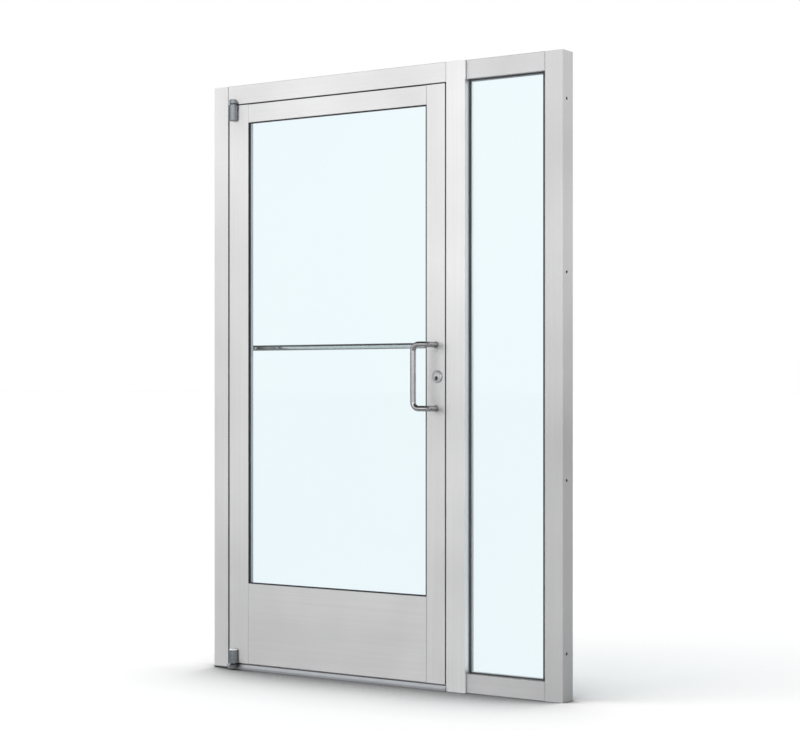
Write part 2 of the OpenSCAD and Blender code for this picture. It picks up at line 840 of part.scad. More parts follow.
// A stile's tube with its outer glazing lip: u from the leaf's edge to the glass
module stile_2d(face_w) {
    floor_u = face_w - pocket_d;
    difference() {
        soft_rect(0, face_w, front_y, leaf_back_y);
        rect(floor_u, face_w + overrun, front_y + tube_wall, leaf_back_y + overrun);
        rect(tube_wall, floor_u - tube_wall, front_y + tube_wall, leaf_back_y - tube_wall);
    }
}

// A rail's tube with its outer glazing lip and inner webs: v from the leaf's edge to the glass
module rail_2d(face_h, webs) {
    floor_v = face_h - pocket_d;
    room = (floor_v - (webs + 2) * tube_wall) / (webs + 1);
    difference() {
        soft_rect(front_y, leaf_back_y, 0, face_h);
        rect(front_y + tube_wall, leaf_back_y + overrun, floor_v, face_h + overrun);
        for (i = [0 : webs]) translate([0, tube_wall + i * (room + tube_wall)])
            rect(front_y + tube_wall, leaf_back_y - tube_wall, 0, room);
    }
}

module tie_holes(x0, x1) {
    for (z = tie_zs) rod_x(tie_r + let_in, x0, x1, tie_y, z);
}

module pivot_notch(z0, z1) {
    block(pivot_x - arm_w / 2 - let_in, pivot_x + arm_w / 2 + let_in, front_y - overrun,
        front_y + tube_wall + overrun, z0, z1);
}

module hinge_stile() {
    color(metal) difference() {
        along_z(leaf_z0, leaf_z1) translate([leaf_x0, 0]) stile_2d(hinge_stile_w);
        pivot_notch(leaf_z0 - overrun, leaf_z0 + arm_t + let_in);
        pivot_notch(leaf_z1 - arm_t - let_in, leaf_z1 + overrun);
        tie_holes(pocket_x0 - tube_wall - overrun, pocket_x0 + overrun);
        rod_y(stud_r + let_in, leaf_back_y - tube_wall - overrun, leaf_back_y + overrun, bar_x0,
            pull_top_z);
    }
}

module lock_stile() {
    color(metal) difference() {
        along_z(leaf_z0, leaf_z1) translate([leaf_x1, 0]) mirror([1, 0]) stile_2d(lock_stile_w);
        tie_holes(pocket_x1 - overrun, pocket_x1 + tube_wall + overrun);
        block(case_x1 - overrun, leaf_x1 + overrun, lock_y - faceplate_w / 2 - let_in,
            lock_y + faceplate_w / 2 + let_in, faceplate_z0 - let_in, faceplate_z1 + let_in);
        rod_y(cylinder_r + let_in, front_y - overrun, leaf_back_y + overrun, lock_x, lock_z);
        for (z = [pull_top_z, pull_top_z - pull_centres])
            rod_y(stud_r + let_in, front_y - overrun, leaf_back_y + overrun, pull_x, z);
    }
}

// The outer walls of a rail are cut back at both ends to lie between the stiles' lips
module rail_ends(z0, z1) {
    y1 = front_y + tube_wall;
    block(pocket_x0 - overrun, sight_x0, front_y - overrun, y1, z0 - overrun, z1 + overrun);
    block(sight_x1, pocket_x1 + overrun, front_y - overrun, y1, z0 - overrun, z1 + overrun);
    end_grooves(sight_x0, sight_x1, front_y, z0, z1);
}

module top_rail() {
    color(metal) difference() {
        along_x(pocket_x0, pocket_x1) translate([0, leaf_z1]) mirror([0, 1]) rail_2d(top_rail_h, 0);
        rail_ends(sight_z1, leaf_z1);
    }
}

module bottom_rail() {
    color(metal) difference() {
        along_x(pocket_x0, pocket_x1) translate([0, leaf_z0]) rail_2d(bottom_rail_h, bottom_rail_webs);
        rail_ends(leaf_z0, sight_z0);
    }
}

module tie_rods() {
    reach = tube_wall + tie_washer_t + tie_end;
    color(steel) for (z = tie_zs) rod_x(tie_r, pocket_x0 - reach, pocket_x1 + reach, tie_y, z);
}

// A hexagon nut with its washer, from x0 towards +X
module tie_nut(x0) {
    rotate([0, 90, 0]) difference() {
        union() {
            translate([0, 0, x0]) cylinder(r = tie_nut_r, h = tie_washer_t);
            translate([0, 0, x0 + tie_washer_t]) cylinder(r = tie_nut_r, h = tie_nut_t, $fn = 6);
        }
        translate([0, 0, x0 - overrun]) cylinder(r = tie_r + running,
            h = tie_washer_t + tie_nut_t + 2 * overrun);
    }
}

module tie_rod_nuts() {
    color(steel) for (z = tie_zs) translate([0, tie_y, z]) {
        tie_nut(pocket_x1 + tube_wall);
        mirror([1, 0, 0]) tie_nut(-pocket_x0 + tube_wall);
    }
}

module door_glass() {
    color(clear_glass, glass_share) block(sight_x0 - glass_bite, sight_x1 + glass_bite, glass_y0, glass_y1,
        sight_z0 - glass_bite, sight_z1 + glass_bite);
}

module door_outer_gasket() {
    lip_y = front_y + tube_wall;
    color(rubber) {
        along_y(lip_y, glass_y0)
            ring_2d(sight_x0 - gasket_base, sight_x1 + gasket_base, sight_z0 - gasket_base,
                sight_z1 + gasket_base, gasket_base + gasket_nose);
        along_y(lip_y - gasket_lap, lip_y) ring_2d(sight_x0, sight_x1, sight_z0, sight_z1, gasket_nose);
    }
}

module door_inner_gasket() {
    color(rubber) along_y(glass_y1, bead_y0)
        ring_2d(sight_x0 - gasket_base, sight_x1 + gasket_base, sight_z0 - gasket_base,
            sight_z1 + gasket_base, gasket_base);
}

// A bevelled bead, open towards its tube: u from the pocket's floor to the sight line, v inwards
module bead_2d() {
    bead_d = leaf_back_y - bead_y0;
    difference() {
        polygon([[0, 0], [pocket_d, 0], [pocket_d, bead_flat], [bead_land, bead_d], [0, bead_d]]);
        polygon([
            [-overrun, bead_wall], [pocket_d - bead_wall, bead_wall],
            [pocket_d - bead_wall, bead_flat - bead_wall], [bead_land, bead_d - 2 * bead_wall],
            [-overrun, bead_d - 2 * bead_wall]
        ]);
    }
}

// The mitred outline of one bead, between two corners of the pocket and two of the sight lines
module mitre(a, b, c, d) {
    along_y(bead_y0 - overrun, leaf_back_y + overrun) polygon([a, b, c, d]);
}

module hinge_bead() {
    color(metal) intersection() {
        along_z(pocket_z0, pocket_z1) translate([pocket_x0, bead_y0]) bead_2d();
        mitre([pocket_x0, pocket_z0], [sight_x0, sight_z0], [sight_x0, sight_z1], [pocket_x0, pocket_z1]);
    }
}

module lock_bead() {
    color(metal) intersection() {
        along_z(pocket_z0, pocket_z1) translate([pocket_x1, bead_y0]) mirror([1, 0]) bead_2d();
        mitre([pocket_x1, pocket_z0], [sight_x1, sight_z0], [sight_x1, sight_z1], [pocket_x1, pocket_z1]);
    }
}

module bottom_bead() {
    color(metal) intersection() {
        along_x(pocket_x0, pocket_x1) translate([bead_y0, pocket_z0]) mirror([1, -1]) bead_2d();
        mitre([pocket_x0, pocket_z0], [sight_x0, sight_z0], [sight_x1, sight_z0], [pocket_x1, pocket_z0]);
    }
}

module top_bead() {
    color(metal) intersection() {
        along_x(pocket_x0, pocket_x1) translate([bead_y0, pocket_z1]) rotate(-90) bead_2d();
        mitre([pocket_x0, pocket_z1], [sight_x0, sight_z1], [sight_x1, sight_z1], [pocket_x1, pocket_z1]);
    }
}

module door_setting_blocks() {
    color(rubber) setting_pair(sight_x0, sight_x1, glass_y0, glass_y1, pocket_z0, sight_z0 - glass_bite);
}

// Handles

// One arm of the pull handle above the lock's height: foot, two bends and half the grip
module pull_half() {
    rise = pull_centres / 2;
    difference() {
        union() {
            rod_y(pull_r, pull_y + rod_bend, front_y, pull_x, rise);
            translate([pull_x - rod_bend, pull_y + rod_bend, rise]) rotate([0, 0, -90]) bend(pull_r);
            rod_x(pull_r, pull_x - pull_offset + rod_bend, pull_x - rod_bend, pull_y, rise);
            translate([pull_x - pull_offset + rod_bend, pull_y, rise - rod_bend])
                rotate([90, 0, 0]) rotate([0, 0, 90]) bend(pull_r);
            rod_z(pull_r, 0, rise - rod_bend, pull_x - pull_offset, pull_y);
        }
        rod_y(stud_r + let_in, front_y - stud_grip, front_y + overrun, pull_x, rise);
    }
}

module pull_handle() {
    color(metal) translate([0, 0, lock_z]) {
        pull_half();
        mirror([0, 0, 1]) pull_half();
    }
}

module push_bar() {
    color(metal) difference() {
        translate([0, 0, pull_top_z]) {
            for (x = [bar_x0, pull_x]) rod_y(bar_r, leaf_back_y, bar_y - rod_bend, x, 0);
            translate([bar_x0 + rod_bend, bar_y - rod_bend, 0]) rotate([0, 0, 90]) bend(bar_r);
            translate([pull_x - rod_bend, bar_y - rod_bend, 0]) bend(bar_r);
            rod_x(bar_r, bar_x0 + rod_bend, pull_x - rod_bend, bar_y, 0);
        }
        for (x = [bar_x0, pull_x])
            rod_y(stud_r + let_in, leaf_back_y - overrun, leaf_back_y + stud_grip, x, pull_top_z);
    }
}

module handle_studs() {
    color(steel) {
        rod_y(stud_r, front_y - stud_grip + let_in, leaf_back_y + stud_grip - let_in, pull_x, pull_top_z);
        rod_y(stud_r, front_y - stud_grip + let_in, leaf_back_y, pull_x, pull_top_z - pull_centres);
        rod_y(stud_head_r, leaf_back_y, leaf_back_y + stud_head_t, pull_x, pull_top_z - pull_centres);
        rod_y(stud_r, leaf_back_y - tube_wall, leaf_back_y + stud_grip - let_in, bar_x0, pull_top_z);
        rod_y(stud_head_r, leaf_back_y - tube_wall - stud_head_t, leaf_back_y - tube_wall, bar_x0,
            pull_top_z);
    }
}

// Lock

// The places of the two screws in the lock's lugs, seen from the leaf's edge
module at_lugs() {
    for (z = [faceplate_z0 + lug_l / 2, faceplate_z1 - lug_l / 2])
        translate([leaf_x1, lock_y, z]) rotate([0, 90, 0]) children();
}

module bolt_slot(x0, x1) {
    block(x0, x1, lock_y - slot_t / 2, lock_y + slot_t / 2, slot_z0, slot_z1);
}

module lock_case() {
    color(steel) difference() {
        union() {
            block(case_x0, case_x1, lock_y - case_t / 2, lock_y + case_t / 2, case_z0, case_z1);
            block(case_x1 - lug_t, case_x1, lock_y - faceplate_w / 2, lock_y + faceplate_w / 2,
                faceplate_z0, faceplate_z1);
        }
        block(case_x0 + case_wall, case_x1 + overrun, lock_y - case_t / 2 + case_wall,
            lock_y + case_t / 2 - case_wall, case_z0 + case_wall, case_z1 - case_wall);
        rod_y(cylinder_r + let_in, lock_y - case_t, lock_y + case_t, lock_x, lock_z);
        rod_y(bolt_pin_r + running, lock_y - case_t, lock_y + case_t, bolt_x, bolt_z);
        at_lugs() countersunk(small_screw_r, small_head_r, small_head_h, tube_wall + lug_t + overrun, let_in);
    }
}

module lock_faceplate() {
    color(steel) difference() {
        block(case_x1, leaf_x1, lock_y - faceplate_w / 2, lock_y + faceplate_w / 2, faceplate_z0,
            faceplate_z1);
        bolt_slot(case_x1 - overrun, leaf_x1 + overrun);
        at_lugs() countersunk(small_screw_r, small_head_r, small_head_h, tube_wall + overrun, let_in);
    }
}

module faceplate_screws() {
    color(steel) at_lugs() screw(small_screw_r, small_head_r, small_head_h, tube_wall + lug_t);
}

module bolt_pin() {
    color(steel) rod_y(bolt_pin_r, lock_y - case_t / 2, lock_y + case_t / 2, bolt_x, bolt_z);
}

module dead_bolt() {
    half = bolt_w / 2;
    y0 = lock_y - bolt_t / 2;
    y1 = lock_y + bolt_t / 2;
    color(steel) difference() {
        union() {
            along_y(y0, y1) translate([bolt_x, bolt_z]) polygon([
                [-half, 0], [-half, bolt_l - bolt_chamfer], [bolt_chamfer - half, bolt_l],
                [half - bolt_chamfer, bolt_l], [half, bolt_l - bolt_chamfer], [half, 0]
            ]);
            rod_y(half, y0, y1, bolt_x, bolt_z);
        }
        rod_y(bolt_pin_r + running, y0 - overrun, y1 + overrun, bolt_x, bolt_z);
    }
}

// Strike

// The places of the strike's two screws, seen from the opening
module at_strike_screws() {
    for (z = [strike_z0 + strike_margin / 2, strike_z1 - strike_margin / 2])
        translate([opening_x1, lock_y, z]) rotate([0, -90, 0]) children();
}

module strike_plate() {
    color(steel) difference() {
        block(opening_x1, opening_x1 + tube_wall, lock_y - strike_w / 2, lock_y + strike_w / 2,
            strike_z0, strike_z1);
        bolt_slot(opening_x1 - overrun, opening_x1 + tube_wall + overrun);
        at_strike_screws()
            countersunk(small_screw_r, small_head_r, small_head_h, tube_wall + overrun, let_in);
    }
}

module strike_backer() {
    x0 = opening_x1 + tube_wall;
    color(steel) difference() {
        block(x0, x0 + backer_t, lock_y - strike_w / 2, lock_y + strike_w / 2,
            strike_z0 - backer_lap, strike_z1 + backer_lap);
        bolt_slot(x0 - overrun, x0 + backer_t + overrun);
        at_strike_screws()
            countersunk(small_screw_r, small_head_r, small_head_h, tube_wall + backer_t + overrun, let_in);
    }
}

module strike_screws() {
    color(steel) at_strike_screws() screw(small_screw_r, small_head_r, small_head_h, tube_wall + backer_t);
}

module lock_cylinder() {
    color(metal) difference() {
        union() {
            rod_y(cylinder_r, cylinder_front_y + cylinder_bevel, cylinder_back_y, lock_x, lock_z);
            translate([lock_x, cylinder_front_y, lock_z]) rotate([-90, 0, 0])
                cylinder(r1 = cylinder_r - cylinder_bevel, r2 = cylinder_r, h = cylinder_bevel);
        }
        rod_y(plug_r + running, cylinder_front_y - overrun, cylinder_back_y + overrun, lock_x, plug_z);
    }
}

module cylinder_ring() {
    color(metal) difference() {
        union() {
            rod_y(ring_r, front_y - cylinder_ring_h + ring_taper, front_y, lock_x, lock_z);
            translate([lock_x, front_y - cylinder_ring_h, lock_z]) rotate([-90, 0, 0])
                cylinder(r1 = ring_r - ring_taper, r2 = ring_r, h = ring_taper);
        }
        rod_y(cylinder_r + let_in, front_y - cylinder_ring_h - overrun, front_y + overrun, lock_x, lock_z);
    }
}

module key_plug() {
    front = cylinder_front_y - plug_proud;
    color(metal) difference() {
        rod_y(plug_r, front, cylinder_back_y, lock_x, plug_z);
        block(lock_x - keyway_w / 2, lock_x + keyway_w / 2, front - overrun, front + keyway_d,
            plug_z - keyway_h / 2, plug_z + keyway_h / 2);
    }
}

module turn_cylinder() {
    color(metal) difference() {
        union() {
            rod_y(cylinder_r, turn_front_y, leaf_back_y, lock_x, lock_z);
            rod_y(turn_flange_r, leaf_back_y, leaf_back_y + turn_flange_t, lock_x, lock_z);
        }
        rod_y(turn_shaft_r + running, turn_front_y - overrun,
            leaf_back_y + turn_flange_t + overrun, lock_x, lock_z);
    }
}

module thumbturn() {
    grip_y = leaf_back_y + turn_flange_t + bearing_gap;
    color(metal) {
        rod_y(turn_shaft_r, turn_front_y, grip_y, lock_x, lock_z);
        along_y(grip_y, grip_y + turn_h) translate([lock_x, lock_z]) {
            rect(-turn_t / 2, turn_t / 2, -turn_l / 2, turn_l / 2);
            circle(r = turn_shaft_r + turn_t / 2);
        }
    }
}

hinge_jamb();
door_header();
mullion();
sidelight_jamb();
sidelight_head();
sidelight_sill();
corner_clips();
sidelight_glass();
sidelight_outer_gasket();
sidelight_inner_gasket();
sidelight_head_stop();
sidelight_sill_stop();
sidelight_setting_blocks();
hinge_door_stop();
head_door_stop();
strike_door_stop();
hinge_weatherstrip();
head_weatherstrip();
strike_weatherstrip();
threshold();
threshold_screws();
top_pivot_bracket();
top_pivot_pin();
header_pivot_block();
bottom_pivot_base();
bottom_pivot_pin();
thrust_washer();
pivot_screws();
strike_plate();
strike_backer();
strike_screws();
hinge_stile();
lock_stile();
top_rail();
bottom_rail();
tie_rods();
tie_rod_nuts();
door_glass();
door_outer_gasket();
door_inner_gasket();
hinge_bead();
lock_bead();
top_bead();
bottom_bead();
door_setting_blocks();
top_pivot_arm();
bottom_pivot_arm();
pull_handle();
push_bar();
handle_studs();
lock_case();
lock_faceplate();
faceplate_screws();
bolt_pin();
lock_cylinder();
cylinder_ring();
turn_cylinder();
key_plug();
thumbturn();
dead_bolt();
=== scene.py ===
from collections import namedtuple
import math

import bpy
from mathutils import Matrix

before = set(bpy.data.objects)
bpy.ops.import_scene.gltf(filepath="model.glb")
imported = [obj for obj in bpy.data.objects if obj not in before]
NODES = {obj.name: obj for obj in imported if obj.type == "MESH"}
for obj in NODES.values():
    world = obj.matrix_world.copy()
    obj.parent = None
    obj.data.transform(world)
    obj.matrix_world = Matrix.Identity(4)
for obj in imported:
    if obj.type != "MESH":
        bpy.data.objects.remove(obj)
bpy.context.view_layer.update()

WHITE = (1.0, 1.0, 1.0)
NOISE_LOW, NOISE_HIGH = 0.3, 0.7    # most of a noise lies between these
OCCLUSION_SAMPLES = 8


# Node trees

def opaque(colour):
    return (*colour, 1.0)


class Nodes:
    """A cleared node tree, with short ways to add to it."""

    def __init__(self, tree):
        self.nodes = tree.nodes
        self.links = tree.links
        self.nodes.clear()
        self.coords = self.nodes.new("ShaderNodeTexCoord").outputs

    def feed(self, socket, value):
        """Give a socket a fixed value, or link it to what another node puts out."""
        if isinstance(value, bpy.types.NodeSocket):
            self.links.new(value, socket)
        else:
            socket.default_value = value

    def math(self, kind, a, b):
        """Two values added, multiplied or joined in another way."""
        node = self.nodes.new("ShaderNodeMath")
        node.operation = kind
        self.feed(node.inputs[0], a)
        self.feed(node.inputs[1], b)
        return node.outputs["Value"]

    def ease(self, value, start, end, low=0.0, high=1.0):
        """Low up to the start, high from the end on, and a straight slope between them."""
        node = self.nodes.new("ShaderNodeMapRange")
        limits = {"From Min": start, "From Max": end, "To Min": low, "To Max": high}
        for name, number in limits.items():
            node.inputs[name].default_value = number
        self.links.new(value, node.inputs["Value"])
        return node.outputs["Result"]

    def choose(self, by, otherwise, chosen):
        """One shader or the other, by a value from 0 to 1."""
        node = self.nodes.new("ShaderNodeMixShader")
        self.links.new(by, node.inputs["Fac"])
        self.links.new(otherwise, node.inputs[1])
        self.links.new(chosen, node.inputs[2])
        return node.outputs["Shader"]

    def light_path(self):
        """What kind of ray asks for a colour, and how often it has bounced."""
        return self.nodes.new("ShaderNodeLightPath").outputs


class Material(Nodes):
    """A node material with one Principled shader."""

    def __init__(self, name, **sockets):
        self.mat = bpy.data.materials.new(name)
        self.mat.use_nodes = True
        super().__init__(self.mat.node_tree)
        self.out = self.nodes.new("ShaderNodeOutputMaterial")
        self.shader = self.nodes.new("ShaderNodeBsdfPrincipled")
        self.show(self.shader.outputs["BSDF"])
        for socket, value in sockets.items():
            self.shader.inputs[socket.replace("_", " ")].default_value = value

    def show(self, shader):
        """Put a shader on the surface."""
        self.links.new(shader, self.out.inputs["Surface"])

    def noise(self, scale, detail, rough=0.5):
        """Noise with its own number of grains per metre along X, Y and Z."""
        mapping = self.nodes.new("ShaderNodeMapping")
        mapping.inputs["Scale"].default_value = scale
        self.links.new(self.coords["Object"], mapping.inputs["Vector"])
        tex = self.nodes.new("ShaderNodeTexNoise")
        tex.inputs["Scale"].default_value = 1.0
        tex.inputs["Detail"].default_value = detail
        tex.inputs["Roughness"].default_value = rough
        self.links.new(mapping.outputs["Vector"], tex.inputs["Vector"])
        return tex.outputs["Fac"]

    def blend(self, *parts):
        """The weighted sum of several noises, given as (noise, weight)."""
        total = None
        for value, weight in parts:
            term = self.math("MULTIPLY", value, weight)
            total = term if total is None else self.math("ADD", total, term)
        return total

    def ramp(self, value, stops):
        """A colour for each value, from two or more stops in rising order."""
        node = self.nodes.new("ShaderNodeValToRGB")
        elements = node.color_ramp.elements
        for at, colour in stops[1:-1]:
            elements.new(at).color = opaque(colour)
        for end, (at, colour) in ((elements[0], stops[0]), (elements[-1], stops[-1])):
            end.position = at
            end.color = opaque(colour)
        self.links.new(value, node.inputs["Fac"])
        return node.outputs["Color"]

    def mix(self, by, low, high):
        """One colour or the other, by a value from 0 to 1."""
        node = self.nodes.new("ShaderNodeMix")
        node.data_type = "RGBA"
        self.links.new(by, node.inputs["Factor"])
        ends = [socket for socket in node.inputs if socket.type == "RGBA"]
        for socket, value in zip(ends, (low, high)):
            self.feed(socket, opaque(value) if isinstance(value, tuple) else value)
        return next(socket for socket in node.outputs if socket.type == "RGBA")

    def openness(self, reach):
        """1 in the open and less where other surfaces lie within reach, as in gaps and corners."""
        node = self.nodes.new("ShaderNodeAmbientOcclusion")
        node.samples = OCCLUSION_SAMPLES
        node.inputs["Distance"].default_value = reach
        return node.outputs["AO"]

    def colour(self, value, stops, painted_shade=None):
        """Colour by a noise, with painted shade that darkens gaps and corners."""
        shade = self.ramp(value, stops)
        # Painted shade: darker where other surfaces lie near, as in gaps, corners and at contacts
        if painted_shade:
            unshaded = self.ease(self.openness(painted_shade.reach), painted_shade.full, painted_shade.ends)
            shade = self.mix(unshaded, painted_shade.dark, shade)
        self.links.new(shade, self.shader.inputs["Base Color"])

    def roughness(self, value, low, high):
        """Roughness by a noise."""
        rough = self.ease(value, NOISE_LOW, NOISE_HIGH, low, high)
        self.links.new(rough, self.shader.inputs["Roughness"])

    def bump(self, value, strength, depth):
        """Raise the surface by a noise."""
        node = self.nodes.new("ShaderNodeBump")
        node.inputs["Strength"].default_value = strength
        node.inputs["Distance"].default_value = depth
        self.links.new(value, node.inputs["Height"])
        self.links.new(node.outputs["Normal"], self.shader.inputs["Normal"])


# Kinds of material

# Painted shade where other surfaces lie near: how far it looks for other surfaces, its dark colour, and
# the openness where it is full and where it ends
PaintedShade = namedtuple("PaintedShade", "reach dark full ends")

# Painted shade in the gaps and chamfers between frame and leaf, by the mullion and sidelight, in the
# hinge jamb's gap, on the stiles beside the pivots and the lock, round the pivots, on the threshold's
# nose by the floor, and on the handle and bar near the leaf
GAP_PAINTED_SHADE = PaintedShade(0.008, (0.03, 0.03, 0.032), 0.15, 0.52)
SIDE_PAINTED_SHADE = PaintedShade(0.003, (0.03, 0.03, 0.032), 0.15, 0.45)
JAMB_PAINTED_SHADE = PaintedShade(0.008, (0.015, 0.015, 0.017), 0.8, 0.98)
STILE_PAINTED_SHADE = PaintedShade(0.008, (0.02, 0.02, 0.022), 0.3, 0.82)
LOCK_PAINTED_SHADE = PaintedShade(0.006, (0.02, 0.02, 0.022), 0.4, 0.8)
PIVOT_PAINTED_SHADE = PaintedShade(0.03, (0.03, 0.03, 0.032), 0.2, 0.85)
THRESHOLD_PAINTED_SHADE = PaintedShade(0.03, (0.12, 0.12, 0.125), 0.3, 0.95)
ROD_PAINTED_SHADE = PaintedShade(0.06, (0.05, 0.05, 0.053), 0.15, 0.95)

PIVOT_METALLIC = 0.9
# The high faces of the pivots that look up are bare machined metal and a painted highlight: lighter and
# much less metallic than the rest of the pivot
BARE_END_AND_HIGHLIGHT = (0.95, 0.955, 0.96)
BARE_END_METALLIC = 0.1
BARE_END_HEIGHT, BARE_END_EDGE = 0.06, 0.001    # metres
BARE_END_SLOPES = 0.6, 0.7    # how far a face looks up where the bare metal begins, and where it is full
GLASS_IOR = 1.3    # below real glass, so that it mirrors less


def even(grains):
    """As many grains per metre along each axis."""
    return (grains,) * 3


def tones(colour, spread):
    """Three stops round a colour: a darker, the plain and a lighter one."""
    middle = (NOISE_LOW + NOISE_HIGH) / 2
    return [(at, tuple(min(1.0, part * share) for part in colour))
            for at, share in ((NOISE_LOW, 1 - spread), (middle, 1.0), (NOISE_HIGH, 1 + spread))]


def brushed(name, along, colour, rough, spread, metallic, painted_shade):
    """Metal brushed along one axis: fine scratches, wider streaks and a slow mottle."""
    def stretched(across, length):
        scale = [across] * 3
        scale["XYZ".index(along)] = length
        return scale
    m = Material(name, Metallic=metallic)
    fine = m.noise(stretched(across=1500.0, length=9.0), detail=4.0, rough=0.6)
    streak = m.noise(stretched(across=120.0, length=1.6), detail=3.0, rough=0.55)
    mottle = m.noise((2.4, 2.4, 1.9), detail=2.0)
    m.colour(m.blend((fine, 0.12), (streak, 0.18), (mottle, 0.7)), tones(colour, spread), painted_shade)
    m.roughness(m.blend((fine, 0.6), (streak, 0.4)), rough - 0.06, rough + 0.06)
    m.bump(fine, strength=0.12, depth=0.0002)
    return m.mat


def frame_metal(name, along, colour, painted_shade=GAP_PAINTED_SHADE):
    """The brushed aluminium of the frame and the leaf."""
    return brushed(name, along, colour, rough=0.36, spread=0.12, metallic=0.8, painted_shade=painted_shade)


def cast(name, colour, rough, metallic, grain=700.0, spread=0.12, depth=0.0003, painted_shade=GAP_PAINTED_SHADE):
    """Metal or paint with a fine even grain and some larger unevenness."""
    m = Material(name, Metallic=metallic)
    fine = m.noise(even(grain), detail=4.0, rough=0.6)
    cloud = m.noise(even(35.0), detail=3.0)
    m.colour(m.blend((fine, 0.4), (cloud, 0.6)), tones(colour, spread), painted_shade)
    m.roughness(m.blend((fine, 0.5), (cloud, 0.5)), rough - 0.08, rough + 0.1)
    m.bump(fine, strength=0.2, depth=depth)
    return m


def polished(name, colour, rough):
    """The bright round metal of the handle and the bar."""
    return cast(name, colour, rough, metallic=1.0, grain=1200.0, spread=0.05, depth=0.0001,
                painted_shade=ROD_PAINTED_SHADE).mat


def pivot_grey(name):
    """The dark grey metal of the pivots."""
    return cast(name, (0.25, 0.27, 0.29), rough=0.28, metallic=PIVOT_METALLIC, painted_shade=PIVOT_PAINTED_SHADE)


def with_bare_end_and_painted_highlight(m):
    """Turn a pivot's high faces that look up into bare machined metal with a painted highlight."""
    def upward(output):
        split = m.nodes.new("ShaderNodeSeparateXYZ")
        m.links.new(m.coords[output], split.inputs["Vector"])
        return split.outputs["Z"]
    faces_up = m.ease(upward("Normal"), *BARE_END_SLOPES)
    is_high = m.ease(upward("Object"), BARE_END_HEIGHT, BARE_END_HEIGHT + BARE_END_EDGE)
    end = m.math("MULTIPLY", faces_up, is_high)
    painted = m.shader.inputs["Base Color"].links[0].from_socket
    m.links.new(m.mix(end, painted, BARE_END_AND_HIGHLIGHT), m.shader.inputs["Base Color"])
    metallic = m.ease(end, 0.0, 1.0, PIVOT_METALLIC, BARE_END_METALLIC)
    m.links.new(metallic, m.shader.inputs["Metallic"])
    return m


def rubber(name, colour, rough=0.6):
    """Rubber or pile: dull, grainy and uneven in tone."""
    m = Material(name, Specular_IOR_Level=0.35)
    grain = m.noise(even(900.0), detail=4.0, rough=0.65)
    cloud = m.noise(even(14.0), detail=3.0)
    m.colour(m.blend((grain, 0.5), (cloud, 0.5)), tones(colour, spread=0.35))
    m.roughness(grain, rough - 0.1, rough + 0.12)
    m.bump(grain, strength=0.25, depth=0.0003)
    return m.mat


def clear_glass(name):
    """Float glass: pale blue, very slightly wavy, and clear to the rays of lamps."""
    m = Material(name, Transmission_Weight=1.0, IOR=GLASS_IOR)
    wave = m.noise((1.3, 1.3, 0.7), detail=1.0)
    haze = m.noise((5.0, 5.0, 2.0), detail=4.0, rough=0.6)
    m.colour(wave, [(NOISE_LOW, (0.835, 0.94, 0.975)), (NOISE_HIGH, (0.86, 0.95, 0.975))])
    m.roughness(haze, 0.0, 0.03)
    m.bump(wave, strength=0.05, depth=0.002)
    clear = m.nodes.new("ShaderNodeBsdfTransparent")
    clear.inputs["Color"].default_value = opaque((0.86, 0.94, 0.97))
    is_shadow = m.light_path()["Is Shadow Ray"]
    m.show(m.choose(is_shadow, m.shader.outputs["BSDF"], clear.outputs["BSDF"]))
    return m.mat


# Materials of the pieces

ALUMINIUM = (0.80, 0.80, 0.803)
# The mullion's aluminium is a lighter copy of the same metal, which is painted light; the sidelight
# frame's is a darker copy, which is painted shade
LIT_MULLION_ALUMINIUM = (0.84, 0.84, 0.843)
SHADED_SIDE_ALUMINIUM = (0.66, 0.66, 0.665)

steel = cast("plated_steel", (0.50, 0.51, 0.53), rough=0.36, metallic=1.0).mat
satin = cast("satin_chrome", (0.72, 0.72, 0.73), rough=0.38, metallic=0.85, grain=1000.0,
             spread=0.06, depth=0.0001, painted_shade=None).mat
# The key plug is dark all over: painted shade that stands for the shade in its keyway
plug_with_painted_keyway_shade = cast("plug_with_painted_keyway_shade", (0.10, 0.10, 0.103), rough=0.34, metallic=0.6, grain=1000.0,
                  spread=0.08, depth=0.0001).mat
threshold_metal = brushed("threshold_aluminium", "X", (0.64, 0.67, 0.71), rough=0.32, spread=0.08,
                          metallic=0.6, painted_shade=THRESHOLD_PAINTED_SHADE)
bare_and_highlit_pivot = with_bare_end_and_painted_highlight(pivot_grey("bare_and_highlit_pivot_grey"))

